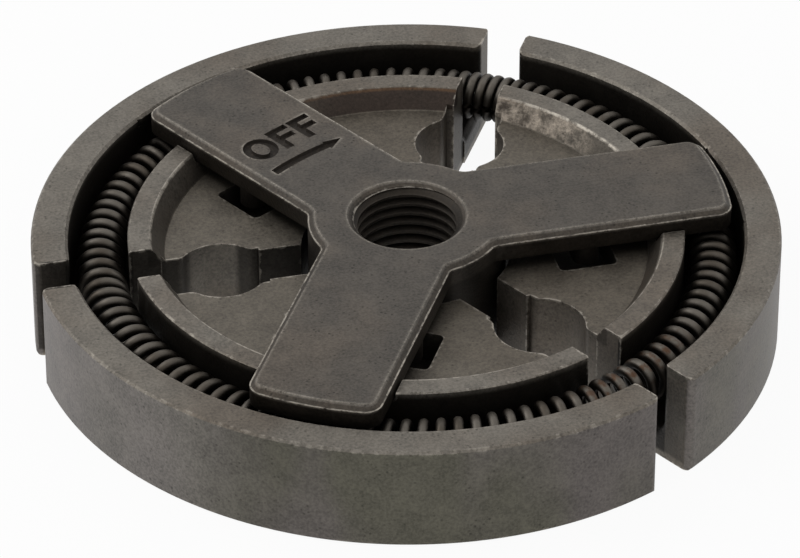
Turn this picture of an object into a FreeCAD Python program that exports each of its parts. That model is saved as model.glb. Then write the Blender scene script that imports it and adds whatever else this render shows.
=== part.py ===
import FreeCAD, Part
import math
import os
import Sketcher

# Three-shoe centrifugal clutch of a chainsaw, in millimetres.
# The origin is on the clutch axis in the plane that the shoes and the hub stand on.
# +Z runs along the axis towards the spider's marked face, and the first arm points along +X.
# A shoe is drawn about the centre of its own friction arc. At rest the spring holds that
# centre a little inside the clutch axis, on the far side from the shoe.

ARMS = 3
SECTOR = 360.0 / ARMS
WIRE_SIDES = 5
STEPS_PER_TURN = 8
TOLERANCE = 1e-4
NEAR = 0.01

# How a sketch numbers an edge's points, its own axes and its origin
START, END, CENTRE = range(1, 4)
ACROSS_AXIS, UP_AXIS = range(-1, -3, -1)
ORIGIN = (ACROSS_AXIS, START)

SIZES = (
    ("friction_radius", 34.0, "radius of a shoe's friction face"),
    ("shoe_height", 10.0, "height of the rim"),
    ("rim_thickness", 3.3, "radial thickness of the rim"),
    ("rim_chamfer", 0.2, "bevel on the friction face's top and bottom edges"),
    ("groove_room", 0.85, "radial room that the spring groove leaves beside the coil"),
    ("groove_floor", 2.6, "thickness of the shoe under the spring groove"),
    ("groove_fillet", 1.2, "round in the groove's two bottom corners"),
    ("wall_thickness", 2.1, "inner wall, measured at its top"),
    ("wall_drop", 0.1, "how far the inner wall's top lies below the rim's"),
    ("rim_break", 0.25, "bevel on the top edge of the rim's inside"),
    ("wall_break", 0.12, "bevel on the top edges of the inner wall"),
    ("wall_slope", 1.2, "how far the inner wall's inside leans in from its top to the web"),
    ("web_drop", 2.0, "how far the web's top lies below the rim's"),
    ("rest_retraction", 0.45, "how far the resting shoe's arc centre lies inside the clutch axis"),
    ("rim_gap", 3.7, "gap between two rims at rest"),
    ("wall_gap", 4.0, "gap between two inner walls at rest"),
    ("web_gap", 5.3, "gap between two webs at rest"),
    ("nose_gap", 4.6, "gap between two webs beside the hub"),
    ("nose_land", 0.8, "flat between the nose's step and the tool hole"),
    ("tool_hole", 8.15, "diameter of the tool hole that two shoes share"),
    ("tool_hole_offset", 0.675, "how far a tool hole lies outside the middle of the web"),
    ("hole_blend", 1.0, "round where a tool hole runs out into the gap"),
    ("end_round", 0.7, "round on the upright edges of a rim's ends"),
    ("hub_clearance", 0.5, "between the hub and a resting shoe's web"),
    ("channel_clearance", 0.2, "between an arm's flank and the ends of the inner wall"),
    ("arm_end_clearance", 1.0, "between an arm's end and a resting shoe's rim"),
    ("seat_clearance", 0.15, "between an arm's underside and its seat on the inner wall"),
    ("stop_travel", 1.7, "how far a shoe slides out before its pocket meets the stop lug"),
    ("stop_back", 1.2, "room in the pocket on the lug's outer side"),
    ("stop_side", 1.2, "room in the pocket beside the lug's ends"),
    ("stop_below", 2.4, "room in the pocket under the lug"),
    ("stop_corner", 0.5, "round in the pocket's upright corners"),
    ("spider_proud", 1.35, "how far the spider's top stands above the rims"),
    ("hub_radius", 8.9, "outside of the hub"),
    ("hub_foot", 0.5, "bevel round the hub's lower edge"),
    ("arm_width", 11.9, "width of an arm"),
    ("arm_thickness", 2.15, "height of an arm's flank"),
    ("arm_corner", 1.6, "round on an arm's outer corners"),
    ("arm_root", 0.8, "round between an arm and the hub"),
    ("top_bevel", 0.4, "bevel round the spider's top edge"),
    ("lug_length", 2.4, "stop lug's size along the arm"),
    ("lug_height", 1.8, "how far the stop lug hangs below the arm"),
    ("lug_reach", 15.3, "distance of a stop lug from the clutch axis"),
    ("thread_minor", 8.92, "bore at the crests of the M10 x 1 left-hand thread"),
    ("mouth_bevel", 0.94, "bevel at the thread's upper mouth"),
    ("foot_bevel", 0.4, "bevel at the thread's lower mouth"),
    ("wire", 0.95, "spring wire's diameter"),
    ("coil_diameter", 4.5, "outside diameter of the spring's coil"),
    ("spring_turns", 112, "turns round the whole ring"),
    ("spring_headroom", 0.6, "between the coil and the arms above it"),
    ("spring_clearance", 0.15, "between the coil and the inner walls' ends"),
    ("spring_joint", 0.4, "gap between the spring's two ends"),
)

# Expressions that several features share, in the sheet's names
WALL_TOP = "(sizes.shoe_height - sizes.wall_drop)"
WEB_TOP = "(sizes.shoe_height - sizes.web_drop)"
SPIDER_TOP = "(sizes.shoe_height + sizes.spider_proud)"
ARM_UNDERSIDE = f"({SPIDER_TOP} - sizes.arm_thickness)"
RIM_INSIDE = "(sizes.friction_radius - sizes.rim_thickness)"
WALL_OUTSIDE = f"({RIM_INSIDE} - sizes.coil_diameter - sizes.groove_room)"
WALL_INSIDE = f"({WALL_OUTSIDE} - sizes.wall_thickness)"
WALL_FOOT = f"({WALL_INSIDE} - sizes.wall_slope)"
WEB_END = "(sizes.hub_radius + sizes.hub_clearance + sizes.rest_retraction)"
ARM_REACH = f"({RIM_INSIDE} - sizes.rest_retraction - sizes.arm_end_clearance)"
HALF_ARM = "(sizes.arm_width / 2)"
HOLE_REACH = f"((sizes.hub_radius + sizes.hub_clearance + {WALL_INSIDE}) / 2 + sizes.tool_hole_offset)"
HOLE_HALF_CHORD = "sqrt((sizes.tool_hole / 2) ^ 2 - (sizes.web_gap / 2) ^ 2)"
HOLE_BLEND = f"min(sizes.hole_blend; 0.8 * ({WALL_FOOT} - {HOLE_REACH} - {HOLE_HALF_CHORD}))"


def make_sheet(doc):
    """The driving dimensions, one row each: name, value and what it is."""
    sheet = doc.addObject("Spreadsheet::Sheet", "sizes")
    for row, (name, value, note) in enumerate(SIZES, start=1):
        sheet.set(f"A{row}", name)
        sheet.set(f"B{row}", str(value))
        sheet.set(f"C{row}", note)
        sheet.setAlias(f"B{row}", name)
    doc.recompute()
    return sheet


def origin_feature(body, role):
    return next(item for item in body.Origin.OriginFeatures if item.Role == role)


def new_sketch(body, name, plane="XY_Plane", height=None, shift=None, turn=0.0):
    """A sketch on one of the body's own planes, raised by height and moved along X by shift."""
    sketch = body.newObject("Sketcher::SketchObject", name)
    sketch.AttachmentSupport = [(origin_feature(body, plane), "")]
    sketch.MapMode = "FlatFace"
    sketch.AttachmentOffset = FreeCAD.Placement(
        FreeCAD.Vector(), FreeCAD.Rotation(FreeCAD.Vector(0, 0, 1), turn))
    if height:
        sketch.setExpression("AttachmentOffset.Base.z", height)
    if shift:
        sketch.setExpression("AttachmentOffset.Base.x", shift)
    return sketch


def number(sheet, expression):
    value = sheet.evalExpression(expression)
    return float(getattr(value, "Value", value))


def bind(sketch, constraint, expression):
    """Adds a constraint whose value follows an expression."""
    index = sketch.addConstraint(constraint)
    sketch.setExpression(f"Constraints[{index}]", expression)


def pin_start(sketch, sheet, edge, corner):
    """Ties an edge's first point to a corner, which is two expressions."""
    x, y = (number(sheet, expression) for expression in corner)
    if abs(x) < TOLERANCE:
        sketch.addConstraint(Sketcher.Constraint("PointOnObject", edge, START, UP_AXIS))
    else:
        bind(sketch, Sketcher.Constraint("DistanceX", *ORIGIN, edge, START, x), corner[0])
    if abs(y) < TOLERANCE:
        sketch.addConstraint(Sketcher.Constraint("PointOnObject", edge, START, ACROSS_AXIS))
    else:
        bind(sketch, Sketcher.Constraint("DistanceY", *ORIGIN, edge, START, y), corner[1])


def draw_outline(sketch, sheet, corners, arcs=None):
    """A closed outline through the corners, anticlockwise. A corner whose number is in arcs
    starts an arc of that radius, which is an expression, and every other starts a line."""
    arcs = arcs or {}
    points = [FreeCAD.Vector(number(sheet, x), number(sheet, y), 0) for x, y in corners]
    count = len(points)
    edges = []
    for index, point in enumerate(points):
        following = points[(index + 1) % count]
        if index in arcs:
            curve = arc_between(point, following, number(sheet, arcs[index]))
            edges.append(sketch.addGeometry(curve, False))
            bind(sketch, Sketcher.Constraint("Radius", edges[-1], curve.Radius), arcs[index])
        else:
            edges.append(sketch.addGeometry(Part.LineSegment(point, following), False))
    for edge, after in zip(edges, edges[1:] + edges[:1]):
        sketch.addConstraint(Sketcher.Constraint("Coincident", edge, END, after, START))
    for edge, corner in zip(edges, corners):
        pin_start(sketch, sheet, edge, corner)


def arc_between(start, end, radius):
    """The shorter arc from start to end, anticlockwise."""
    chord = end - start
    middle = (start + end) * 0.5
    left = FreeCAD.Vector(-chord.y, chord.x, 0).normalize()
    centre = middle + left * math.sqrt(max(radius ** 2 - (chord.Length / 2) ** 2, 0.0))
    circle = Part.Circle(centre, FreeCAD.Vector(0, 0, 1), radius)
    first = math.atan2(start.y - centre.y, start.x - centre.x)
    last = math.atan2(end.y - centre.y, end.x - centre.x)
    return Part.ArcOfCircle(circle, first, last)


def add_feature(body, kind, name, profile, bindings, **settings):
    feature = body.newObject("PartDesign::" + kind, name)
    feature.Profile = profile
    for setting, value in settings.items():
        setattr(feature, setting, value)
    for setting, expression in bindings.items():
        feature.setExpression(setting, expression)
    body.Document.recompute()
    return feature


def cut_upwards(body, name, profile):
    """A pocket from the sketch to the top of everything, which has to take something away."""
    before = body.Tip.Shape.Volume
    pocket = add_feature(body, "Pocket", name, profile, {}, Type="ThroughAll", Reversed=True)
    if pocket.Shape.Volume > before - TOLERANCE:
        raise RuntimeError(name + " cuts nothing")
    return pocket


def dress_edges(body, kind, name, size, expression, wanted):
    """A fillet or chamfer on the edges of the body's tip that wanted picks out."""
    base = body.Tip
    chosen = [f"Edge{index}" for index, edge in enumerate(base.Shape.Edges, start=1) if wanted(edge)]
    if not chosen:
        raise RuntimeError(name + " finds no edge")
    feature = body.newObject("PartDesign::" + kind, name)
    feature.Base = (base, chosen)
    feature.setExpression(size, expression)
    body.Document.recompute()
    return feature


def is_upright(edge):
    first, last = edge.Vertexes[0].Point, edge.Vertexes[-1].Point
    return math.hypot(first.x - last.x, first.y - last.y) < TOLERANCE and abs(first.z - last.z) > TOLERANCE


def is_level(edge, height):
    box = edge.BoundBox
    return abs(box.ZMin - height) < TOLERANCE and abs(box.ZMax - height) < TOLERANCE


def upright_at(edge, places):
    """Whether an upright edge stands on one of the places, which are (x, y)."""
    foot = edge.Vertexes[0].Point
    return is_upright(edge) and any(math.hypot(foot.x - x, foot.y - y) < NEAR for x, y in places)


def level_circle(edge, height, radius):
    curve = edge.Curve
    return is_level(edge, height) and isinstance(curve, Part.Circle) and abs(curve.Radius - radius) < NEAR


def make_spider(doc, sheet):
    """Hub with three wide arms, a stop lug under each arm and the threaded bore."""
    body = doc.addObject("PartDesign::Body", "spider")
    body.Label = "spider"

    hub_outline = new_sketch(body, "hub_outline")
    draw_circle(hub_outline, "sizes.hub_radius", sheet)
    add_feature(body, "Pad", "hub", hub_outline, {"Length": SPIDER_TOP})

    arm_outline = new_sketch(body, "arm_outline", height=ARM_UNDERSIDE)
    arm_end = f"sqrt({ARM_REACH} ^ 2 - {HALF_ARM} ^ 2)"
    draw_outline(arm_outline, sheet, (
        ("0", f"-{HALF_ARM}"), (arm_end, f"-{HALF_ARM}"), (arm_end, HALF_ARM), ("0", HALF_ARM),
    ), {1: ARM_REACH})
    arm = add_feature(body, "Pad", "arm", arm_outline, {"Length": "sizes.arm_thickness"})

    lug_outline = new_sketch(body, "lug_outline", height=ARM_UNDERSIDE)
    inner, outer = "sizes.lug_reach - sizes.lug_length / 2", "sizes.lug_reach + sizes.lug_length / 2"
    straight = f"{HALF_ARM} - sizes.lug_length / 2"
    draw_outline(lug_outline, sheet, (
        (inner, f"-({straight})"), (outer, f"-({straight})"), (outer, straight), (inner, straight),
    ), {0: "sizes.lug_length / 2", 2: "sizes.lug_length / 2"})
    lug = add_feature(body, "Pad", "lug", lug_outline, {"Length": "sizes.lug_height"}, Reversed=True)

    arms = body.newObject("PartDesign::PolarPattern", "arms")
    arms.Originals = [arm, lug]
    arms.Axis = (origin_feature(body, "Z_Axis"), [""])
    arms.Angle = 360
    arms.Occurrences = ARMS
    body.Tip = arms
    doc.recompute()

    half_arm = number(sheet, HALF_ARM)
    reach = number(sheet, arm_end)
    hub_foot = math.sqrt(number(sheet, "sizes.hub_radius") ** 2 - half_arm ** 2)
    dress_edges(body, "Fillet", "arm_corners", "Radius", "sizes.arm_corner",
                lambda edge: upright_at(edge, around_axis(((reach, half_arm), (reach, -half_arm)))))
    dress_edges(body, "Fillet", "arm_roots", "Radius", "sizes.arm_root",
                lambda edge: upright_at(edge, around_axis(((hub_foot, half_arm), (hub_foot, -half_arm)))))
    top = number(sheet, SPIDER_TOP)
    dress_edges(body, "Chamfer", "top_edge", "Size", "sizes.top_bevel", lambda edge: is_level(edge, top))
    dress_edges(body, "Chamfer", "hub_foot_edge", "Size", "sizes.hub_foot", lambda edge: is_level(edge, 0))

    bore_outline = new_sketch(body, "bore_outline")
    draw_circle(bore_outline, "sizes.thread_minor / 2", sheet)
    cut_upwards(body, "bore", bore_outline)
    bore = number(sheet, "sizes.thread_minor / 2")
    dress_edges(body, "Chamfer", "upper_mouth", "Size", "sizes.mouth_bevel",
                lambda edge: level_circle(edge, top, bore))
    dress_edges(body, "Chamfer", "lower_mouth", "Size", "sizes.foot_bevel",
                lambda edge: level_circle(edge, 0, bore))
    return body


def draw_circle(sketch, radius, sheet):
    circle = Part.Circle(FreeCAD.Vector(), FreeCAD.Vector(0, 0, 1), number(sheet, radius))
    edge = sketch.addGeometry(circle, False)
    sketch.addConstraint(Sketcher.Constraint("Coincident", edge, CENTRE, *ORIGIN))
    bind(sketch, Sketcher.Constraint("Radius", edge, circle.Radius), radius)


def around_axis(places):
    """The places repeated at each arm."""
    repeated = []
    for arm in range(ARMS):
        cosine, sine = math.cos(math.radians(arm * SECTOR)), math.sin(math.radians(arm * SECTOR))
        for x, y in places:
            repeated.append((x * cosine - y * sine, x * sine + y * cosine))
    return repeated


def make_shoe(doc, sheet, arm):
    """One sliding shoe: friction rim, spring groove, inner wall and web, open at its ends."""
    body = doc.addObject("PartDesign::Body", f"shoe_{arm + 1}")
    body.Label = f"shoe_{arm + 1}"

    section = new_sketch(body, "section", plane="XZ_Plane")
    bevel, inner_bevel, small = "sizes.rim_chamfer", "sizes.rim_break", "sizes.wall_break"
    draw_outline(section, sheet, (
        (WEB_END, "0"), (f"sizes.friction_radius - {bevel}", "0"),
        ("sizes.friction_radius", bevel), ("sizes.friction_radius", f"sizes.shoe_height - {bevel}"),
        (f"sizes.friction_radius - {bevel}", "sizes.shoe_height"),
        (f"{RIM_INSIDE} + {inner_bevel}", "sizes.shoe_height"),
        (RIM_INSIDE, f"sizes.shoe_height - {inner_bevel}"),
        (RIM_INSIDE, "sizes.groove_floor"), (WALL_OUTSIDE, "sizes.groove_floor"),
        (WALL_OUTSIDE, f"{WALL_TOP} - {small}"), (f"{WALL_OUTSIDE} - {small}", WALL_TOP),
        (f"{WALL_INSIDE} + {small}", WALL_TOP), (WALL_INSIDE, f"{WALL_TOP} - {small}"),
        (WALL_FOOT, WEB_TOP), (WEB_END, WEB_TOP),
    ))
    add_feature(body, "Revolution", "blank", section, {}, Angle=SECTOR, Midplane=True,
                ReferenceAxis=(section, ["V_Axis"]))
    groove_radii = (number(sheet, RIM_INSIDE), number(sheet, WALL_OUTSIDE))
    floor = number(sheet, "sizes.groove_floor")
    dress_edges(body, "Fillet", "groove_corners", "Radius", "sizes.groove_fillet",
                lambda edge: any(level_circle(edge, floor, radius) for radius in groove_radii))

    gap = new_sketch(body, "gap", shift="sizes.rest_retraction", turn=-SECTOR / 2)
    beyond = "sizes.friction_radius + sizes.rim_gap"
    hole_start = f"{HOLE_REACH} - {HOLE_HALF_CHORD}"
    hole_end = f"{HOLE_REACH} + {HOLE_HALF_CHORD}"
    nose = f"{hole_start} - sizes.nose_land"
    draw_outline(gap, sheet, (
        ("0", "-sizes.rim_gap"), (beyond, "-sizes.rim_gap"), (beyond, "sizes.rim_gap / 2"),
        (WALL_OUTSIDE, "sizes.rim_gap / 2"), (WALL_OUTSIDE, "sizes.wall_gap / 2"),
        (WALL_FOOT, "sizes.wall_gap / 2"), (WALL_FOOT, "sizes.web_gap / 2"),
        (hole_end, "sizes.web_gap / 2"), (hole_start, "sizes.web_gap / 2"),
        (nose, "sizes.web_gap / 2"), (nose, "sizes.nose_gap / 2"), ("0", "sizes.nose_gap / 2"),
    ), {7: "sizes.tool_hole / 2"})
    gap_cut = cut_upwards(body, "gap_cut", gap)
    other_end = body.newObject("PartDesign::Mirrored", "other_end")
    other_end.Originals = [gap_cut]
    other_end.MirrorPlane = (origin_feature(body, "XZ_Plane"), [""])
    body.Tip = other_end
    doc.recompute()

    channel = new_sketch(body, "channel", shift="sizes.rest_retraction",
                         height=f"{ARM_UNDERSIDE} - sizes.seat_clearance")
    flank = f"{HALF_ARM} + sizes.channel_clearance"
    channel_end = f"{ARM_REACH} + sizes.arm_end_clearance / 2"
    draw_outline(channel, sheet, (
        ("0", f"-({flank})"), (channel_end, f"-({flank})"), (channel_end, flank), ("0", flank),
    ))
    cut_upwards(body, "arm_channel", channel)

    stop = new_sketch(body, "stop", shift="sizes.rest_retraction",
                      height=f"{ARM_UNDERSIDE} - sizes.lug_height - sizes.stop_below")
    inner = "sizes.lug_reach - sizes.lug_length / 2 - sizes.stop_travel"
    outer = "sizes.lug_reach + sizes.lug_length / 2 + sizes.stop_back"
    side = f"{HALF_ARM} + sizes.stop_side"
    draw_outline(stop, sheet, (
        (inner, f"-({side})"), (outer, f"-({side})"), (outer, side), (inner, side),
    ))
    cut_upwards(body, "stop_pocket", stop)

    retraction = number(sheet, "sizes.rest_retraction")
    places = [(number(sheet, x) + retraction, sign * number(sheet, side))
              for x in (inner, outer) for sign in (1, -1)]
    dress_edges(body, "Fillet", "stop_corners", "Radius", "sizes.stop_corner",
                lambda edge: upright_at(edge, places))
    hole_edges = shoe_end_places(sheet, ((hole_start, "sizes.web_gap / 2"), (hole_end, "sizes.web_gap / 2")))
    dress_edges(body, "Fillet", "hole_edges", "Radius", HOLE_BLEND,
                lambda edge: upright_at(edge, hole_edges))

    rim_end = number(sheet, "sizes.rim_gap / 2")
    rim_from = number(sheet, f"({RIM_INSIDE} + {WALL_OUTSIDE}) / 2")
    dress_edges(body, "Fillet", "rim_ends", "Radius", "sizes.end_round",
                lambda edge: is_upright(edge) and on_shoe_end(sheet, edge, rim_from, rim_end))

    turn = f"{arm} * {SECTOR}"
    body.Placement.Rotation = FreeCAD.Rotation(FreeCAD.Vector(0, 0, 1), arm * SECTOR)
    body.setExpression(".Placement.Base.x", f"-sizes.rest_retraction * cos({turn})")
    body.setExpression(".Placement.Base.y", f"-sizes.rest_retraction * sin({turn})")
    doc.recompute()
    return body


def shoe_end_places(sheet, corners):
    """Corners of the gap sketch in the shoe's own plan, at both of its ends."""
    turn = math.radians(SECTOR / 2)
    shift = number(sheet, "sizes.rest_retraction")
    places = []
    for along, across in corners:
        x, y = number(sheet, along), number(sheet, across)
        end = (x * math.cos(turn) + y * math.sin(turn) + shift, -x * math.sin(turn) + y * math.cos(turn))
        places.extend((end, (end[0], -end[1])))
    return places


def on_shoe_end(sheet, edge, nearest, across):
    """Whether an upright edge lies in a shoe's end, outside nearest and at that half gap."""
    turn = math.radians(SECTOR / 2)
    foot = edge.Vertexes[0].Point
    x, y = foot.x - number(sheet, "sizes.rest_retraction"), -abs(foot.y)
    along = x * math.cos(turn) - y * math.sin(turn)
    return along > nearest and abs(x * math.sin(turn) + y * math.cos(turn) - across) < NEAR


def coil_centres(sheet):
    """Points along the wire's centre line, once round the ring, with the ends under the first arm."""
    wall_end = number(sheet, f"{WALL_OUTSIDE} - sizes.rest_retraction * cos({SECTOR / 2})")
    outside = number(sheet, "sizes.coil_diameter")
    ring = wall_end + number(sheet, "sizes.spring_clearance") + outside / 2
    coil = (outside - number(sheet, "sizes.wire")) / 2
    level = number(sheet, f"{ARM_UNDERSIDE} - sizes.spring_headroom - sizes.coil_diameter / 2")
    half_joint = number(sheet, "(sizes.spring_joint + sizes.wire) / 2") / ring
    steps = round(number(sheet, "sizes.spring_turns") * STEPS_PER_TURN)
    centres = []
    for step in range(steps + 1):
        roll = 2 * math.pi * step / STEPS_PER_TURN
        azimuth = half_joint + (2 * math.pi - 2 * half_joint) * step / steps
        radius = ring + coil * math.cos(roll)
        centres.append(FreeCAD.Vector(
            radius * math.cos(azimuth), radius * math.sin(azimuth), level + coil * math.sin(roll)))
    return centres


def wire_sections(centres, wire_radius):
    """The wire's corners at each centre, mitred so that every side of every run is flat."""
    runs = [(after - before).normalize() for before, after in zip(centres, centres[1:])]
    across = runs[0].cross(FreeCAD.Vector(0, 0, 1)).normalize()
    upward = runs[0].cross(across)
    corners = []
    for side in range(WIRE_SIDES):
        angle = 2 * math.pi * side / WIRE_SIDES
        corners.append(centres[0] + (across * math.cos(angle) + upward * math.sin(angle)) * wire_radius)
    sections = [corners]
    for index, run in enumerate(runs):
        last = index == len(runs) - 1
        normal = run if last else (run + runs[index + 1]).normalize()
        target = centres[index + 1]
        corners = [corner + run * ((target - corner).dot(normal) / run.dot(normal)) for corner in corners]
        sections.append(corners)
    return sections


def flat_face(corners):
    return Part.Face(Part.makePolygon([*corners, corners[0]]))


def make_spring(doc, sheet):
    """Garter spring: one coil of wire bent into a ring, held between the walls of the shoes."""
    sections = wire_sections(coil_centres(sheet), number(sheet, "sizes.wire / 2"))
    faces = [flat_face(sections[0]), flat_face(sections[-1])]
    for near, far in zip(sections, sections[1:]):
        for side in range(WIRE_SIDES):
            after = (side + 1) % WIRE_SIDES
            faces.append(flat_face((near[side], near[after], far[after], far[side])))
    solid = Part.makeSolid(Part.makeShell(faces))
    if solid.Volume < 0:
        solid.reverse()
    spring = doc.addObject("Part::Feature", "garter_spring")
    spring.Label = "garter_spring"
    spring.Shape = solid
    spring.Placement = FreeCAD.Placement()
    return spring


def check_document(doc, pieces):
    """Stops if any object failed to build or any piece is not one sound solid."""
    for item in doc.Objects:
        if {"Invalid", "Error"} & set(item.State):
            raise RuntimeError(f"{item.Name} failed: {item.State}")
    for piece in pieces:
        shape = piece.Shape
        if shape.isNull() or not shape.isValid() or len(shape.Solids) != 1:
            raise RuntimeError(f"{piece.Label} is not a sound solid")


def main():
    doc = FreeCAD.newDocument("clutch")
    sheet = make_sheet(doc)
    pieces = [make_spider(doc, sheet)]
    for arm in range(ARMS):
        pieces.append(make_shoe(doc, sheet, arm))
    pieces.append(make_spring(doc, sheet))
    doc.recompute()
    check_document(doc, pieces)
    os.makedirs("parts", exist_ok=True)
    for piece in pieces:
        piece.Shape.exportStep(f"parts/{piece.Label}.step")
        print(piece.Label, round(piece.Shape.Volume, 1), "mm3")


main()
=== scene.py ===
import math
from collections import namedtuple

import bmesh
import bpy
from mathutils import Matrix, Vector


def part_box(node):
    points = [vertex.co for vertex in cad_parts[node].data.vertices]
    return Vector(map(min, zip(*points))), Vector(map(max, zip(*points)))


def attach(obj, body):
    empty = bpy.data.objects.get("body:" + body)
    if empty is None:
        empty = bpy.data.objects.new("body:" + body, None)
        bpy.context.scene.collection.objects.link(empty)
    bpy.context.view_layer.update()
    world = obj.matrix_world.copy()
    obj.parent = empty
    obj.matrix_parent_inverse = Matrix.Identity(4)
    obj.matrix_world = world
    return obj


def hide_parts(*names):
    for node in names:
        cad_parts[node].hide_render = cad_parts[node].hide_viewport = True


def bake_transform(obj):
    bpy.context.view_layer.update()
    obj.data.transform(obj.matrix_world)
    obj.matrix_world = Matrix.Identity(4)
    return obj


# Looks of a three-shoe chainsaw clutch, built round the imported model.
# Sizes are in millimetres unless a name says otherwise, and MM turns them into metres.

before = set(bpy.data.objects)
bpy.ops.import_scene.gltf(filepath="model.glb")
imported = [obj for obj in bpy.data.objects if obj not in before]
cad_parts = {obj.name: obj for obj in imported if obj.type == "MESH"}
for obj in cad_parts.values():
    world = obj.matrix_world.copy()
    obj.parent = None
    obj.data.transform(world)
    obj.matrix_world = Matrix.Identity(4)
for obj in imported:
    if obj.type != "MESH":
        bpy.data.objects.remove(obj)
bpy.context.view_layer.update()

MM = 0.001
ARMS = 3
SECTOR = 2 * math.pi / ARMS
SHOES = tuple(f"shoe_{arm + 1}" for arm in range(ARMS))
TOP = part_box("spider")[1].z / MM

# The camera, as it stands to the clutch in the photograph
PICTURE_WIDTH = 800
PICTURE_TURN = math.radians(13.5)
CAMERA_HEIGHT = math.radians(35.84)
CAMERA_DISTANCE = 500.0
FOCAL_PIXELS = 5511.0
SENSOR = 36.0
CAMERA_AIM = (-0.63, 2.02, 2.80)

# Garter spring
WIRE = 0.95
COIL_DIAMETER = 4.5
SPRING_TURNS = 112
SPRING_JOINT = 0.4
SPRING_START = 0.7
SPRING_LEVEL = 6.35
SPRING_RING = 27.525
WIRE_SIDES = 12
STEPS_PER_TURN = 36
TANGENT_STEP = 0.2

# The turns lie closer together in the gap at the back
TIGHT_TURNS = 2.8
TIGHT_REACH = 6.0
TIGHT_AT = SECTOR / 2

# The spider's top edge: the bevel of the solid, and the bevel and flat that the press leaves
TOP_BEVEL = 0.4
PRESSED_WIDTH = 0.6
PRESSED_DROP = 0.5
PRESSED_FLAT = 0.11
BEVEL_TILT = (0.5, 0.9)
HUB_MOUTH = 6.5
ARM_THICKNESS = 2.15

# How near points of a mesh count as one place, and from which angle an edge is sharp
NEAR = 0.002
WELD = 0.0005
SPIDER_SHARP = math.radians(28)
WIRE_SHARP = math.radians(60)

# Crank thread, M10 x 1 left-hand
THREAD_MAJOR = 10.0
THREAD_PITCH = 1.0
THREAD_CORE = 8.8
THREAD_CREST = 0.125
THREAD_FLANK = math.radians(30)
THREAD_STEPS = 64
THREAD_SPARE_TURNS = 3

# The OFF mark and its arrow on the second arm, placed outward along it and clockwise across it
MARK_ARM = 1
MARK_DEPTH = 0.45
MARK_ROUND = 0.14
MARK_ROUND_STEPS = 2
LETTER_FOOT = 15.05
LETTER_HEIGHT = 3.27
LETTER_STEM = 0.88
LETTER_BAR = 0.7
O_PLACE = -2.53
O_OUTSIDE = (1.62, 1.68)
O_INSIDE = (0.74, 0.98)
O_STEPS = 40
F_PLACES = (-0.69, 1.93)
F_WIDTH = 2.38
F_MIDDLE_WIDTH = 2.2
F_MIDDLE_FOOT = 1.33
ARROW_OUT = 13.05
ARROW_FROM = -4.13
ARROW_NECK = 2.29
ARROW_TIP = 4.05
ARROW_HALF = 0.46
ARROW_HEAD_HALF = 0.68
ARROW_BOW = 0.18
ARROW_STEPS = 10


def polar(radius, angle, height):
    """A point in metres from a radius and a height in millimetres."""
    return Vector((radius * math.cos(angle), radius * math.sin(angle), height)) * MM


def photo_to_model(point):
    """A point in millimetres as the photograph sees the clutch, turned into the model's frame."""
    return Matrix.Rotation(-PICTURE_TURN, 3, "Z") @ Vector(point) * MM


def new_piece(name, mesh, material_list):
    """A mesh as an object in the scene, with its materials."""
    piece = bpy.data.objects.new(name, mesh)
    bpy.context.scene.collection.objects.link(piece)
    for material in material_list:
        mesh.materials.append(material)
    return piece


def mesh_from(name, points, faces):
    mesh = bpy.data.meshes.new(name)
    mesh.from_pydata([tuple(point) for point in points], [], faces)
    mesh.update()
    return mesh


# Shader nodes: a finish lies in a band, round a spot, or where a mottle puts it
Band = namedtuple("Band", "low high soft")
Spot = namedtuple("Spot", "radius angle height reach")
Mottle = namedtuple("Mottle", "scale detail roughness low high")
SPOT_CORE = 0.45


def add_node(tree, kind, inputs=None, **settings):
    """One node. inputs maps a socket's name or number to a value, or to the socket that feeds it."""
    node = tree.nodes.new(kind)
    for setting, value in settings.items():
        setattr(node, setting, value)
    for socket, value in (inputs or {}).items():
        if isinstance(value, bpy.types.NodeSocket):
            tree.links.new(value, node.inputs[socket])
        else:
            node.inputs[socket].default_value = value
    return node


def math_node(tree, operation, first, second=0.0):
    return add_node(tree, "ShaderNodeMath", {0: first, 1: second}, operation=operation).outputs[0]


def times(tree, first, second):
    return math_node(tree, "MULTIPLY", first, second)


def larger(tree, first, second):
    return math_node(tree, "MAXIMUM", first, second)


def outside_of(tree, mask):
    """One where the mask is nothing, and nothing where it is one."""
    return math_node(tree, "SUBTRACT", 1.0, mask)


def vector_math(tree, operation, first, second):
    return add_node(tree, "ShaderNodeVectorMath", {0: first, 1: second}, operation=operation).outputs


def remap(tree, value, low, high, to_low=0.0, to_high=1.0):
    """Spreads low..high over to_low..to_high with soft ends."""
    node = add_node(tree, "ShaderNodeMapRange", interpolation_type="SMOOTHSTEP", inputs={
        "Value": value, "From Min": low, "From Max": high, "To Min": to_low, "To Max": to_high})
    return node.outputs[0]


def fade(tree, value, levels, to_low=0.0, to_high=1.0):
    """Spreads two levels in millimetres over to_low..to_high."""
    first, second = levels
    return remap(tree, value, first * MM, second * MM, to_low, to_high)


def between(tree, value, band):
    """One inside a band, fading out over its soft ends."""
    rise = fade(tree, value, (band.low - band.soft, band.low))
    fall = fade(tree, value, (band.high, band.high + band.soft), 1.0, 0.0)
    return times(tree, rise, fall)


def mottle(tree, place, pattern, to_low=0.0, to_high=1.0):
    """A noise over the surface, spread over to_low..to_high."""
    node = add_node(tree, "ShaderNodeTexNoise", {
        "Vector": place, "Scale": pattern.scale, "Detail": pattern.detail, "Roughness": pattern.roughness})
    return remap(tree, node.outputs["Fac"], pattern.low, pattern.high, to_low, to_high)


def mix_colour(tree, factor, first, second):
    node = add_node(tree, "ShaderNodeMix", {0: factor, 6: first, 7: second}, data_type="RGBA")
    return node.outputs[2]


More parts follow.
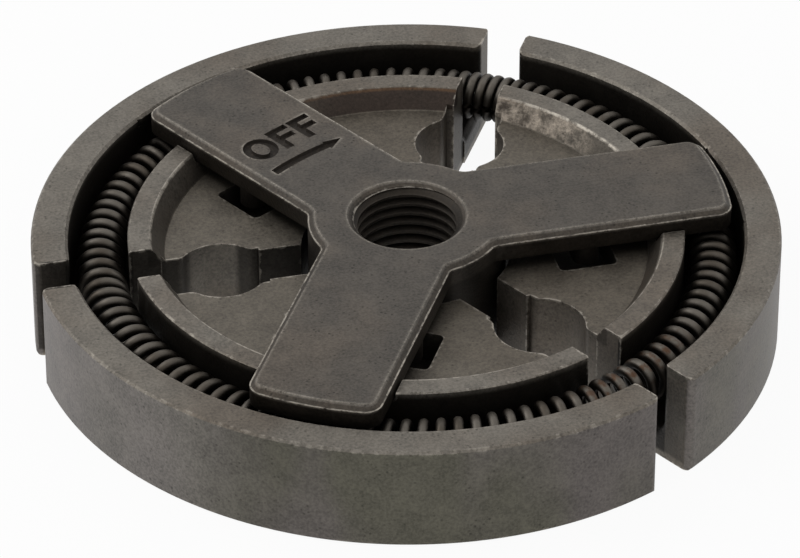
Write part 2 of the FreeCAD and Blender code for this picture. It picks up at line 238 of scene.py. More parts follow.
def lay_over(tree, base, mask, share, finish):
    """The base colour with a share of a finish over it, where the mask lies."""
    return mix_colour(tree, times(tree, mask, share), base, finish)


def model_place(tree):
    return add_node(tree, "ShaderNodeTexCoord").outputs["Object"]


def axis_distance(tree, place):
    """How far a point lies from the clutch axis."""
    level = vector_math(tree, "MULTIPLY", place, (1, 1, 0))[0]
    return add_node(tree, "ShaderNodeVectorMath", {0: level}, operation="LENGTH").outputs["Value"]


def height_of(tree, place):
    return add_node(tree, "ShaderNodeSeparateXYZ", {0: place}).outputs["Z"]


def side_distance(tree, place):
    """How far a point lies to either side of the first arm's middle line."""
    side = add_node(tree, "ShaderNodeSeparateXYZ", {0: place}).outputs["Y"]
    return math_node(tree, "ABSOLUTE", side)


def near_spot(tree, place, spot):
    """One at a spot on the model, fading to nothing at its reach."""
    middle = polar(spot.radius, spot.angle, spot.height)
    away = vector_math(tree, "DISTANCE", place, middle)["Value"]
    return fade(tree, away, (spot.reach, spot.reach * SPOT_CORE))


# Finishes, and the painted corner shade, that more than one material uses
SINTER_PATCHES = Mottle(380.0, 5.0, 0.7, 0.3, 0.7)
SINTER_GRAINS = Mottle(3800.0, 3.0, 0.65, 0.3, 0.7)
PORE_CLOUDS = Mottle(420.0, 2.0, 0.55, 0.36, 0.62)
PORE_SCALE = 1700.0
PORE_EDGE = (0.28, 0.08)
GRAIN_RISE = 0.5
EDGE_CHIPS = Mottle(1400.0, 3.0, 0.55, 0.35, 0.65)
EDGE_NICKS = Mottle(2600.0, 2.0, 0.55, 0.56, 0.66)
CHIP_SHARE = 0.3
WORN_FROM = (0.2, 0.5)
NICKED_FROM = (0.04, 0.2)
CORNER_SHADE = (0.7, 0.15)
SHADE_SAMPLES = 8


def new_group(name, inputs, outputs):
    """An empty shader group with float sockets, and its input and output nodes."""
    group = bpy.data.node_groups.new(name, "ShaderNodeTree")
    for socket, value in inputs.items():
        made = group.interface.new_socket(socket, in_out="INPUT", socket_type="NodeSocketFloat")
        made.default_value = value
    for socket in outputs:
        group.interface.new_socket(socket, in_out="OUTPUT", socket_type="NodeSocketFloat")
    given = group.nodes.new("NodeGroupInput").outputs
    result = group.nodes.new("NodeGroupOutput").inputs
    return group, given, result


def make_sinter_grain():
    """Pressed powder steel: soft patches, fine grain and small open pores."""
    group, given, result = new_group(
        "sinter_grain", {"Patches": 0.2, "Grain": 0.15, "Pores": 0.6}, ("Tone", "Pore Mask", "Height"))
    place = model_place(group)
    patch = mottle(group, place, SINTER_PATCHES, -1.0, 1.0)
    grain = mottle(group, place, SINTER_GRAINS, -1.0, 1.0)
    cells = add_node(group, "ShaderNodeTexVoronoi", {"Vector": place, "Scale": PORE_SCALE})
    pore_mask = remap(group, cells.outputs["Distance"], *PORE_EDGE)
    pore_mask = times(group, pore_mask, mottle(group, place, PORE_CLOUDS))
    pore_mask = times(group, pore_mask, given["Pores"])
    patches = times(group, patch, given["Patches"])
    tone = math_node(group, "ADD", patches, times(group, grain, given["Grain"]))
    tone = math_node(group, "ADD", tone, 1.0)
    height = math_node(group, "SUBTRACT", times(group, grain, GRAIN_RISE), pore_mask)
    group.links.new(tone, result["Tone"])
    group.links.new(pore_mask, result["Pore Mask"])
    group.links.new(height, result["Height"])
    return group


def make_edge_wear_and_shade():
    """Bright wear on outer edges, broken up, and painted shade in inner corners and crevices."""
    group, given, result = new_group(
        "edge_wear_and_shade", {"Reach": 0.0003, "Chips": 0.5, "Corner Reach": 0.004},
        ("Edge", "Worn Edge", "Nicks", "Crevice Shade", "Corner Shade"))
    place = model_place(group)
    inside = add_node(group, "ShaderNodeAmbientOcclusion", {"Distance": given["Reach"]},
                      inside=True, only_local=True, samples=SHADE_SAMPLES).outputs["AO"]
    outside = add_node(group, "ShaderNodeAmbientOcclusion", {"Distance": given["Corner Reach"]},
                       samples=SHADE_SAMPLES).outputs["AO"]
    edge = outside_of(group, inside)
    chips = mottle(group, place, EDGE_CHIPS, -1.0, 1.0)
    chips = times(group, chips, times(group, given["Chips"], CHIP_SHARE))
    worn = remap(group, math_node(group, "ADD", edge, chips), *WORN_FROM)
    nicks = times(group, mottle(group, place, EDGE_NICKS), remap(group, edge, *NICKED_FROM))
    group.links.new(edge, result["Edge"])
    group.links.new(worn, result["Worn Edge"])
    group.links.new(nicks, result["Nicks"])
    # Crevice Shade and Corner Shade are painted shade: darker where other surfaces close in round a point.
    group.links.new(outside_of(group, outside), result["Crevice Shade"])
    group.links.new(remap(group, outside, *CORNER_SHADE), result["Corner Shade"])
    return group


SINTER_GRAIN = make_sinter_grain()
EDGE_WEAR_AND_SHADE = make_edge_wear_and_shade()


def new_material(name):
    material = bpy.data.materials.new(name)
    material.use_nodes = True
    tree = material.node_tree
    tree.nodes.clear()
    shader = tree.nodes.new("ShaderNodeBsdfPrincipled")
    output = tree.nodes.new("ShaderNodeOutputMaterial")
    tree.links.new(shader.outputs["BSDF"], output.inputs["Surface"])
    return material, tree, shader


def place_group(tree, group, **values):
    """A shared effect in a material, with this material's own values."""
    node = tree.nodes.new("ShaderNodeGroup")
    node.node_tree = group
    for socket, value in values.items():
        node.inputs[socket.replace("_", " ")].default_value = value
    return node.outputs


def colour(red, green, blue):
    return (red, green, blue, 1.0)


# Colours of steel, dirt and oil, and of painted shade and highlight
STEEL = colour(0.160, 0.145, 0.124)
STEEL_BROWN = colour(0.125, 0.106, 0.086)
STEEL_OLIVE = colour(0.096, 0.091, 0.070)
STEEL_VIOLET = colour(0.118, 0.105, 0.098)
# Painted sheen on the friction faces
FACE_SHEEN_STEEL = colour(0.190, 0.174, 0.162)
WEB_STEEL = colour(0.108, 0.093, 0.073)
SPIDER_STEEL = colour(0.080, 0.071, 0.061)
SPIDER_BROWN = colour(0.096, 0.081, 0.066)
# Bright steel: worn edges and flats, and the painted highlight along the spider's crest
WORN_STEEL_AND_HIGHLIGHT = colour(0.46, 0.42, 0.36)
ROUGH_STEEL = colour(0.32, 0.275, 0.225)
# Near-black: the pores' colour, and painted shade in corners, hollows, under the arms and between the
# spring's turns
GRIME_AND_SHADE = colour(0.012, 0.0095, 0.007)
# Dark brown: oil in the nicks, and painted shade on the spider's bevel and the inner walls' flanks
OIL_AND_SHADE_BROWN = colour(0.030, 0.023, 0.016)
# Painted shade on the spider's sides and in its bore
SHADE_BROWN = colour(0.017, 0.013, 0.009)
MARK_BROWN = colour(0.016, 0.011, 0.007)
MARK_DUST = colour(0.040, 0.030, 0.021)
SPRING_STEEL = colour(0.125, 0.112, 0.096)
SPRING_OIL = colour(0.075, 0.063, 0.050)
RUST = colour(0.075, 0.042, 0.025)
RED_OIL = colour(0.095, 0.056, 0.032)
RED_BROWN = colour(0.034, 0.023, 0.018)
WHITE = colour(1, 1, 1)

# What the spider and the shoes share
STEEL_METALLIC = 0.75
STEEL_ROUGHNESS = 0.5
TONE_ROUGHNESS = 0.16
EDGE_POLISH = 0.12
GRAIN_DEPTH = 0.03
EDGE_REACH = 0.3
CORNER_REACH = 5.5
PORE_SHARE = 0.7
WORN_SHARE = 0.6
NICK_SHARE = 0.7
CORNER_SHADE_SHARE = 0.9
UNDERSIDE = (0.45, 0.9)


def finish_steel(tree, shader, base, grain, nicks, worn_edge, corner_shade, bump):
    """Joins base colour, pores, painted corner shade and worn edges, and feeds the shader."""
    toned = add_node(tree, "ShaderNodeVectorMath", {0: base, 3: grain["Tone"]}, operation="SCALE").outputs[0]
    pored = lay_over(tree, toned, grain["Pore Mask"], PORE_SHARE, GRIME_AND_SHADE)
    worn = lay_over(tree, pored, worn_edge, WORN_SHARE, WORN_STEEL_AND_HIGHLIGHT)
    nicked = lay_over(tree, worn, nicks, NICK_SHARE, OIL_AND_SHADE_BROWN)
    # Painted shade in inner corners, mixed towards near-black
    shaded = lay_over(tree, nicked, corner_shade, CORNER_SHADE_SHARE, GRIME_AND_SHADE)
    tree.links.new(shaded, shader.inputs["Base Color"])
    rough = times(tree, grain["Tone"], TONE_ROUGHNESS)
    rough = math_node(tree, "ADD", rough, STEEL_ROUGHNESS - TONE_ROUGHNESS)
    rough = math_node(tree, "SUBTRACT", rough, times(tree, worn_edge, EDGE_POLISH))
    tree.links.new(rough, shader.inputs["Roughness"])
    relief = add_node(tree, "ShaderNodeBump", {
        "Strength": bump, "Distance": GRAIN_DEPTH * MM, "Height": grain["Height"]})
    tree.links.new(relief.outputs[0], shader.inputs["Normal"])
    shader.inputs["Metallic"].default_value = STEEL_METALLIC


# Shoe steel: distances from the clutch axis and heights that a finish or a painted shade keeps to
SHOE_BROWNING = Mottle(70.0, 3.0, 0.55, 0.42, 0.68)
SHOE_BUMP = 0.35
WALL_FLANK = Band(21.4, 23.3, 0.15)
FLANK_LEVELS = Band(8.15, 9.75, 0.1)
# Painted shade on the inner wall's flank
FLANK_SHADE_SHARE = 0.6
WEB_LEVELS = Band(7.95, 8.05, 0.05)
WEB_REACH = Band(0, WALL_FLANK.high, 0.1)
WEB_SHARE = 0.7
FRICTION_FACE = (33.1, 33.3)
FACE_TOP = (9.85, 9.75)
FACE_STREAKS = Mottle(75.0, 2.0, 0.55, 0.38, 0.62)
STREAK_STRETCH = (1, 1, 0.35)
# Painted sheen: spots at the left and the right where the friction faces are lighter
LEFT_FACE_SHEEN = Spot(33.5, math.radians(203), 5.0, reach=20.0)
RIGHT_FACE_SHEEN = Spot(33.5, math.radians(-35), 5.0, reach=20.0)
RIGHT_SHEEN_SHARE = 0.5
SHEEN_SHARE = 0.7
RED_FLANK = Spot(22.4, math.radians(76), 8.8, reach=13.0)
RED_EDGE = (9.5, 9.72)
RED_SHARE = 0.85
ROUGH_FLANK = Spot(22.3, math.radians(44), 8.6, reach=8.0)
ROUGH_BREAKS = Mottle(900.0, 4.0, 0.7, 0.3, 0.7)
WALL_LIP = Band(22.75, 23.05, 0.05)
LIP_LEVELS = (9.66, 9.74)
LIP_BREAKS = Mottle(800.0, 4.0, 0.7, 0.38, 0.55)
# Painted shade with oil grime: deep in the spring's groove, and in the left gap with the slot under the arm
GROOVE = Band(24.8, 30.8, 0.1)
GROOVE_SHADE_LEVELS = (9.85, 9.1)
GROOVE_SHADE_SHARE = 0.95
LEFT_GAP_SHADE = Spot(22.0, math.radians(180), 5.0, reach=34.0)
GAP_SIDE = Band(0, 2.06, 0.08)
GAP_SHADE_SHARE = 0.8
SLOT_SIDE = Band(0, 5.0, 0.1)
SLOT_TOP = (7.97, 7.9)
SLOT_END = (22.6, 22.2)
TOOL_HOLE = Band(15.7, 19.2, 0.8)


def run_in_faces_and_sheen(tree, place, face, base):
    """Streaks on the faces that grip the drum, with a painted sheen that lightens them at the left and the
    right.
    """
    upright = vector_math(tree, "MULTIPLY", place, STREAK_STRETCH)[0]
    streaks = mix_colour(tree, mottle(tree, upright, FACE_STREAKS), STEEL_OLIVE, STEEL_VIOLET)
    base = mix_colour(tree, face, base, streaks)
    right_sheen = times(tree, near_spot(tree, place, RIGHT_FACE_SHEEN), RIGHT_SHEEN_SHARE)
    sheen = times(tree, face, larger(tree, near_spot(tree, place, LEFT_FACE_SHEEN), right_sheen))
    return lay_over(tree, base, sheen, SHEEN_SHARE, FACE_SHEEN_STEEL)


def shaded_wall_flank(tree, place, distance, height, red, base):
    """Painted shade on the inner wall's flank, a dark red-brown stain where red lies, and one rough patch.
    """
    flank = times(tree, between(tree, distance, WALL_FLANK), between(tree, height, FLANK_LEVELS))
    base = lay_over(tree, base, flank, FLANK_SHADE_SHARE, OIL_AND_SHADE_BROWN)
    red_flank = times(tree, flank, red)
    base = lay_over(tree, base, red_flank, RED_SHARE, RED_BROWN)
    base = mix_colour(tree, times(tree, red_flank, fade(tree, height, RED_EDGE)), base, RED_OIL)
    rough = times(tree, flank, near_spot(tree, place, ROUGH_FLANK))
    return mix_colour(tree, times(tree, rough, mottle(tree, place, ROUGH_BREAKS)), base, ROUGH_STEEL)


def shaded_and_grimy_hollows(tree, place, distance, height, standing, base):
    """Painted shade with oil grime in the spring's groove, and in the left gap with the slot inside it."""
    groove = times(tree, between(tree, distance, GROOVE), fade(tree, height, GROOVE_SHADE_LEVELS))
    base = lay_over(tree, base, times(tree, groove, standing), GROOVE_SHADE_SHARE, GRIME_AND_SHADE)
    side = side_distance(tree, place)
    slot = times(tree, between(tree, side, SLOT_SIDE), fade(tree, height, SLOT_TOP))
    slot = times(tree, slot, fade(tree, distance, SLOT_END))
    slot = times(tree, slot, outside_of(tree, between(tree, distance, TOOL_HOLE)))
    gap = larger(tree, between(tree, side, GAP_SIDE), slot)
    gap = times(tree, gap, near_spot(tree, place, LEFT_GAP_SHADE))
    return lay_over(tree, base, times(tree, gap, standing), GAP_SHADE_SHARE, GRIME_AND_SHADE)


def worn_lip(tree, place, distance, height, red):
    """Broken wear along the inner wall's lip, away from the red-brown stretch."""
    lip = times(tree, between(tree, distance, WALL_LIP), fade(tree, height, LIP_LEVELS))
    lip = times(tree, lip, mottle(tree, place, LIP_BREAKS))
    return times(tree, lip, outside_of(tree, red))


def make_shoe_steel():
    material, tree, shader = new_material("shoe_sintered_steel")
    grain = place_group(tree, SINTER_GRAIN, Patches=0.16, Grain=0.24, Pores=0.7)
    wear_and_shade = place_group(tree, EDGE_WEAR_AND_SHADE, Reach=EDGE_REACH * MM, Chips=0.7, Corner_Reach=CORNER_REACH * MM)
    place = model_place(tree)
    distance = axis_distance(tree, place)
    height = height_of(tree, place)
    standing = fade(tree, height, UNDERSIDE)
    red = near_spot(tree, place, RED_FLANK)
    face = times(tree, fade(tree, distance, FRICTION_FACE), fade(tree, height, FACE_TOP))

    base = mix_colour(tree, mottle(tree, place, SHOE_BROWNING), STEEL, STEEL_BROWN)
    web = times(tree, between(tree, height, WEB_LEVELS), between(tree, distance, WEB_REACH))
    base = lay_over(tree, base, web, WEB_SHARE, WEB_STEEL)
    base = run_in_faces_and_sheen(tree, place, face, base)
    base = shaded_wall_flank(tree, place, distance, height, red, base)
    base = shaded_and_grimy_hollows(tree, place, distance, height, standing, base)

    worn_edge = larger(tree, wear_and_shade["Worn Edge"], worn_lip(tree, place, distance, height, red))
    # Painted shade in inner corners and under the arms, kept off the underside and the friction faces
    corner_shade = times(tree, wear_and_shade["Corner Shade"], times(tree, standing, outside_of(tree, face)))
    finish_steel(tree, shader, base, grain, wear_and_shade["Nicks"], worn_edge, corner_shade, SHOE_BUMP)
    return material


# Spider steel: heights from its top edge, and distances from the clutch axis
SPIDER_BROWNING = Mottle(90.0, 3.0, 0.55, 0.42, 0.68)
SPIDER_BUMP = 0.4
PRESSED_FOOT = TOP - PRESSED_DROP
# Painted shade on the bevel round the top, and on the sides below it
BEVEL_LEVELS = Band(PRESSED_FOOT + 0.05, TOP - 0.2, 0.05)
BEVEL_SHADE_SHARE = 0.55
SIDE_TOP = (PRESSED_FOOT - 0.05, PRESSED_FOOT - 0.3)
HUB_TO_ARM = (8, 13)
HUB_TO_ARM_SHARE = (0.75, 0.97)
CREST_LEVELS = Band(TOP - 0.12, TOP + 0.1, 0.1)
CREST_FROM = (0.03, 0.2)
CREST_HIGHLIGHT_SHARE = 0.4
MARK_MIDDLE = Spot(15.4, SECTOR, TOP, reach=6.4)
THREAD_DEPTH = (4.6, 4.48)
THREAD_DEPTH_SHARE = (1.0, 0.3)
BORE_WALL = (5.05, 4.95)
BORE_SHADE_SHARE = 0.9
FLAT_LEVELS = Band(PRESSED_FOOT - 0.03, PRESSED_FOOT + 0.02, 0.02)
FLAT_FROM = (6, 7)
FLAT_BREAKS = Mottle(900.0, 3.0, 0.55, 0.38, 0.58)
FLAT_SHARE = 0.5
ARM_UNDERSIDE = TOP - ARM_THICKNESS
UNDER_ARM = (ARM_UNDERSIDE + 0.4, ARM_UNDERSIDE - 0.1)
UNDER_ARM_FROM = (5, 6)
UNDER_ARM_SHADE_SHARE = 0.9
UPPER_EDGE = (PRESSED_FOOT - 0.3, PRESSED_FOOT)


def shaded_sides(tree, distance, height, standing, base):
    """Painted shade on the bevel, and darker painted shade on the sides below it, a little lighter near the
    hub.
    """
    base = lay_over(tree, base, between(tree, height, BEVEL_LEVELS), BEVEL_SHADE_SHARE, OIL_AND_SHADE_BROWN)
    below = times(tree, fade(tree, height, SIDE_TOP), fade(tree, distance, HUB_TO_ARM, *HUB_TO_ARM_SHARE))
    return mix_colour(tree, times(tree, below, standing), base, SHADE_BROWN)


def shaded_bore(tree, distance, base):
    """Painted shade in the threaded bore, less of it on the thread's crests."""
    thread = times(tree, fade(tree, distance, THREAD_DEPTH, *THREAD_DEPTH_SHARE),
                   fade(tree, distance, BORE_WALL))
    return lay_over(tree, base, thread, BORE_SHADE_SHARE, SHADE_BROWN)


def make_spider_steel():
    material, tree, shader = new_material("spider_sintered_steel")
    grain = place_group(tree, SINTER_GRAIN, Patches=0.2, Grain=0.28, Pores=1.0)
    wear_and_shade = place_group(tree, EDGE_WEAR_AND_SHADE, Reach=EDGE_REACH * MM, Chips=0.6, Corner_Reach=CORNER_REACH * MM)
    place = model_place(tree)
    distance = axis_distance(tree, place)
    height = height_of(tree, place)
    standing = fade(tree, height, UNDERSIDE)
    unmarked = outside_of(tree, near_spot(tree, place, MARK_MIDDLE))

    base = mix_colour(tree, mottle(tree, place, SPIDER_BROWNING), SPIDER_STEEL, SPIDER_BROWN)
    base = shaded_sides(tree, distance, height, standing, base)
    # Painted highlight along the rounded crest of the spider's top edge, kept off the mark
    crest = times(tree, remap(tree, wear_and_shade["Edge"], *CREST_FROM), between(tree, height, CREST_LEVELS))
    base = lay_over(tree, base, times(tree, crest, unmarked), CREST_HIGHLIGHT_SHARE, WORN_STEEL_AND_HIGHLIGHT)
    base = shaded_bore(tree, distance, base)
    flat = times(tree, between(tree, height, FLAT_LEVELS), fade(tree, distance, FLAT_FROM))
    base = lay_over(tree, base, times(tree, flat, mottle(tree, place, FLAT_BREAKS)), FLAT_SHARE, WORN_STEEL_AND_HIGHLIGHT)
    # Painted shade on the spider below the arms' underside, outside the bore
    under_arm_shade = times(tree, fade(tree, height, UNDER_ARM), fade(tree, distance, UNDER_ARM_FROM))
    base = lay_over(tree, base, times(tree, under_arm_shade, standing), UNDER_ARM_SHADE_SHARE, GRIME_AND_SHADE)

    upper = times(tree, fade(tree, height, UPPER_EDGE), unmarked)
    worn_edge = times(tree, wear_and_shade["Worn Edge"], upper)
    # Painted shade in inner corners, kept off the underside
    corner_shade = times(tree, wear_and_shade["Corner Shade"], standing)
    finish_steel(tree, shader, base, grain, wear_and_shade["Nicks"], worn_edge, corner_shade, SPIDER_BUMP)
    return material


# The bottom of the pressed mark
MARK_METALLIC = 0.2
MARK_ROUGHNESS = 0.75
MARK_SPECKLE = Mottle(2500.0, 2.0, 0.55, 0.45, 0.8)


def make_mark_steel():
    material, tree, shader = new_material("engraved_mark")
    shader.inputs["Metallic"].default_value = MARK_METALLIC
    shader.inputs["Roughness"].default_value = MARK_ROUGHNESS
    speckle = mottle(tree, model_place(tree), MARK_SPECKLE)
    tree.links.new(mix_colour(tree, speckle, MARK_BROWN, MARK_DUST), shader.inputs["Base Color"])
    return material


# Spring wire: oiled, with painted shade low down and between its turns, and rust at one place
WIRE_METALLIC = 0.85
WIRE_OILING = Mottle(300.0, 3.0, 0.55, 0.4, 0.65)
WIRE_GLOSS = Mottle(900.0, 3.0, 0.55, 0.3, 0.7)
WIRE_ROUGHNESS = (0.42, 0.6)
WIRE_SHADE_BELOW = (SPRING_LEVEL + 2.1, SPRING_LEVEL + 0.9)
WIRE_SHADE_BELOW_SHARE = 0.9
WIRE_CORNER_REACH = 1.6
WIRE_CREVICE_SHADE = (0.06, 0.34)
SPRING_RUST = Spot(27.5, math.radians(302), 7.5, reach=9.0)
RUST_BREAKS = Mottle(1100.0, 3.0, 0.55, 0.45, 0.65)


def make_spring_steel():
    material, tree, shader = new_material("oiled_spring_wire")
    shader.inputs["Metallic"].default_value = WIRE_METALLIC
    wear_and_shade = place_group(tree, EDGE_WEAR_AND_SHADE, Corner_Reach=WIRE_CORNER_REACH * MM)
    place = model_place(tree)
    base = mix_colour(tree, mottle(tree, place, WIRE_OILING), SPRING_STEEL, SPRING_OIL)
    rust = times(tree, near_spot(tree, place, SPRING_RUST), mottle(tree, place, RUST_BREAKS))
    base = mix_colour(tree, rust, base, RUST)
    # Painted shade on the lower side of the wire, and between the turns
    base = lay_over(tree, base, fade(tree, height_of(tree, place), WIRE_SHADE_BELOW), WIRE_SHADE_BELOW_SHARE, GRIME_AND_SHADE)
    base = mix_colour(tree, remap(tree, wear_and_shade["Crevice Shade"], *WIRE_CREVICE_SHADE), base, GRIME_AND_SHADE)
    tree.links.new(base, shader.inputs["Base Color"])
    tree.links.new(mottle(tree, place, WIRE_GLOSS, *WIRE_ROUGHNESS), shader.inputs["Roughness"])
    return material


# The spider with its thread and marks


def welded_copy(name, node):
    """The node's mesh as one closed skin."""
    mesh = node.data.copy()
    mesh.name = name
    skin = bmesh.new()
    skin.from_mesh(mesh)
    bmesh.ops.remove_doubles(skin, verts=skin.verts, dist=WELD * MM)
    skin.to_mesh(mesh)
    skin.free()
    mesh.materials.clear()
    shading = mesh.attributes.get("custom_normal")
    if shading:
        mesh.attributes.remove(shading)
    return mesh


def press_top_edge(mesh):
    """Widens the bevel round the top edge and leaves a narrow flat at its foot, as a press does."""
    crest_level, foot_level = TOP * MM, (TOP - TOP_BEVEL) * MM
    pressed_level = (TOP - PRESSED_DROP) * MM
    split_level = (TOP - PRESSED_DROP * (1 - PRESSED_FLAT / PRESSED_WIDTH)) * MM
    skin = bmesh.new()
    skin.from_mesh(mesh)

    def on_bevel(vert):
        return vert.co.xy.length > HUB_MOUTH * MM and vert.co.z > foot_level - NEAR * MM

    bevel = [face for face in skin.faces
             if BEVEL_TILT[0] < face.normal.z < BEVEL_TILT[1] and all(map(on_bevel, face.verts))]
    inward = {}
    for face in bevel:
        for vert in face.verts:
            inward.setdefault(vert, []).append(-face.normal.xy.normalized())
    for vert, ways in inward.items():
        way = sum(ways, Vector((0, 0))).normalized()
        mitre = len(ways) / sum(way.dot(one) for one in ways)
        inset = vert.co.z - foot_level
        vert.co.xy += way * (mitre * inset * (PRESSED_WIDTH / TOP_BEVEL - 1))
        vert.co.z = crest_level - (crest_level - vert.co.z) * (PRESSED_DROP / TOP_BEVEL)
    parts = set(bevel)
    for face in bevel:
        parts.update(face.edges)
        parts.update(face.verts)
    split = bmesh.ops.bisect_plane(skin, geom=list(parts), plane_co=(0, 0, split_level), plane_no=(0, 0, 1))
    for part in split["geom_cut"]:
        if isinstance(part, bmesh.types.BMVert):
            part.co.z = pressed_level
    skin.to_mesh(mesh)
    skin.free()


def filled_outline(name, loops, top, depth, rounding):
    """A closed cutter from flat outlines in metres: it stands from depth below top to above it."""
    curve = bpy.data.curves.new(name, "CURVE")
    curve.dimensions = "2D"
    curve.fill_mode = "BOTH"
    curve.extrude = depth * MM - rounding * MM
    curve.bevel_depth = rounding * MM
    curve.bevel_resolution = MARK_ROUND_STEPS
    curve.offset = -rounding * MM
    for loop in loops:
        spline = curve.splines.new("POLY")
        spline.points.add(len(loop) - 1)
        spline.use_cyclic_u = True
        for point, place in zip(spline.points, loop):
            point.co = (place.x, place.y, 0.0, 1.0)
    holder = bpy.data.objects.new(name, curve)
    mesh = bpy.data.meshes.new_from_object(holder)
    bpy.data.objects.remove(holder)
    mesh.transform(Matrix.Translation((0, 0, top * MM)))
    skin = bmesh.new()
    skin.from_mesh(mesh)
    bmesh.ops.remove_doubles(skin, verts=skin.verts, dist=WELD * MM)
    bmesh.ops.recalc_face_normals(skin, faces=skin.faces)
    skin.to_mesh(mesh)
    skin.free()
    return mesh


def on_arm(side, out):
    """A place on the marked arm's top: side grows clockwise, out runs from the clutch axis."""
    angle = MARK_ARM * SECTOR
    along = Vector((math.cos(angle), math.sin(angle)))
    clockwise = Vector((math.sin(angle), -math.cos(angle)))
    return (along * out + clockwise * side) * MM


def letter_o():
    middle = LETTER_FOOT + LETTER_HEIGHT / 2
    loops = []
    for wide, tall in (O_OUTSIDE, O_INSIDE):
        turns = [2 * math.pi * step / O_STEPS for step in range(O_STEPS)]
        loops.append([on_arm(O_PLACE + wide * math.cos(a), middle + tall * math.sin(a)) for a in turns])
    return loops


def letter_f(left):
    head = LETTER_FOOT + LETTER_HEIGHT
    bar_foot = LETTER_FOOT + F_MIDDLE_FOOT
    bar_head = bar_foot + LETTER_BAR
    corners = (
        (0, LETTER_FOOT), (LETTER_STEM, LETTER_FOOT), (LETTER_STEM, bar_foot),
        (F_MIDDLE_WIDTH, bar_foot), (F_MIDDLE_WIDTH, bar_head), (LETTER_STEM, bar_head),
        (LETTER_STEM, head - LETTER_BAR), (F_WIDTH, head - LETTER_BAR), (F_WIDTH, head), (0, head),
    )
    return [[on_arm(left + side, out) for side, out in corners]]


def arrow():
    """A bowed shaft with a pointed head, which shows the way to unscrew."""
    length = ARROW_NECK - ARROW_FROM
    shaft = []
    for step in range(ARROW_STEPS + 1):
        share = step / ARROW_STEPS
        shaft.append((ARROW_FROM + length * share, ARROW_OUT + ARROW_BOW * (1 - (2 * share - 1) ** 2)))
    lower = [(side, out - ARROW_HALF) for side, out in shaft]
    upper = [(side, out + ARROW_HALF) for side, out in reversed(shaft)]
    head = [(ARROW_NECK, ARROW_OUT - ARROW_HEAD_HALF), (ARROW_TIP, ARROW_OUT),
            (ARROW_NECK, ARROW_OUT + ARROW_HEAD_HALF)]
    return [[on_arm(side, out) for side, out in lower + head + upper]]


def thread_cutter():
    """A left-hand screw that takes the thread out of the bore's wall."""
    core, crest = THREAD_CORE / 2, THREAD_MAJOR / 2
    slope = (crest - core) * math.tan(THREAD_FLANK)
    land = THREAD_CREST / 2
    section = ((-land - slope, core), (-land, crest), (land, crest), (land + slope, core))
    per_turn = len(section)
    turns = math.ceil(TOP / THREAD_PITCH) + THREAD_SPARE_TURNS
    rows = turns * per_turn
    points, faces = [], []
    for step in range(THREAD_STEPS):
        lead = -THREAD_PITCH * step / THREAD_STEPS
        for row in range(rows):
            along, radius = section[row % per_turn]
            height = (row // per_turn - 1) * THREAD_PITCH + along + lead
            points.append(polar(radius, 2 * math.pi * step / THREAD_STEPS, height))
    for step in range(THREAD_STEPS):
        last = step == THREAD_STEPS - 1
        shift = -per_turn if last else 0
        following = (step + 1) % THREAD_STEPS
        for row in range(rows - 1):
            beside = row + shift
            if beside < 0:
                continue
            faces.append((step * rows + row, following * rows + beside,
                          following * rows + beside + 1, step * rows + row + 1))
    foot = [step * rows for step in range(THREAD_STEPS)]
    foot += [(THREAD_STEPS - 1) * rows + row for row in range(1, per_turn + 1)]
    head = [step * rows + rows - 1 for step in range(THREAD_STEPS)]
    head += range(rows - per_turn - 1, rows - 1)
    foot_height = points[0].z - THREAD_PITCH * MM
    head_height = points[rows - 1].z + THREAD_PITCH * MM
    for ring, height in ((foot, foot_height), (head, head_height)):
        points.append(Vector((0, 0, height)))
        faces.extend((one, two, len(points) - 1) for one, two in zip(ring, ring[1:] + ring[:1]))
    mesh = mesh_from("thread_cutter", points, faces)
    skin = bmesh.new()
    skin.from_mesh(mesh)
    bmesh.ops.recalc_face_normals(skin, faces=skin.faces)
    skin.to_mesh(mesh)
    skin.free()
    return mesh


def cut_out(piece, cutters):
    """Takes the cutters out of the piece and keeps the result as its mesh."""
    tools = []
    for mesh, material in cutters:
        tool = new_piece(mesh.name, mesh, [material])
        cut = piece.modifiers.new(mesh.name, "BOOLEAN")
        cut.object = tool
        cut.operation = "DIFFERENCE"
        cut.solver = "EXACT"
        cut.material_mode = "TRANSFER"
        tools.append(tool)
    bpy.context.view_layer.update()
    evaluated = piece.evaluated_get(bpy.context.evaluated_depsgraph_get())
    result = bpy.data.meshes.new_from_object(evaluated)
    piece.modifiers.clear()
    piece.data = result
    for tool in tools:
        bpy.data.objects.remove(tool)


def make_spider(steel, mark):
    mesh = welded_copy("spider_marked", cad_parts["spider"])
    press_top_edge(mesh)
    piece = new_piece("spider_marked", mesh, [steel])
    cutters = [(thread_cutter(), steel)]
    outlines = {"mark_o": letter_o(), "mark_f_1": letter_f(F_PLACES[0]), "mark_f_2": letter_f(F_PLACES[1]),
                "mark_arrow": arrow()}
    for name, loops in outlines.items():
        cutters.append((filled_outline(name, loops, TOP, MARK_DEPTH, MARK_ROUND), mark))
    cut_out(piece, cutters)
    piece.data.shade_smooth()
    piece.data.set_sharp_from_angle(angle=SPIDER_SHARP)
    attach(piece, "spider_body")
    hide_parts("spider")


# The garter spring


def coil_point(share):
    """The wire's centre at a share of the way round the ring, from the joint under the first arm."""
    opening = SPRING_JOINT / SPRING_RING
    azimuth = opening / 2 + share * (2 * math.pi - opening)
    past = (azimuth - TIGHT_AT) * SPRING_RING / TIGHT_REACH
    past = min(max((past + 1) / 2, 0), 1)
    roll = 2 * math.pi * (SPRING_START + SPRING_TURNS * share + TIGHT_TURNS * past * past * (3 - 2 * past))
    coil = (COIL_DIAMETER - WIRE) / 2
    return polar(SPRING_RING + coil * math.cos(roll), azimuth, SPRING_LEVEL + coil * math.sin(roll))


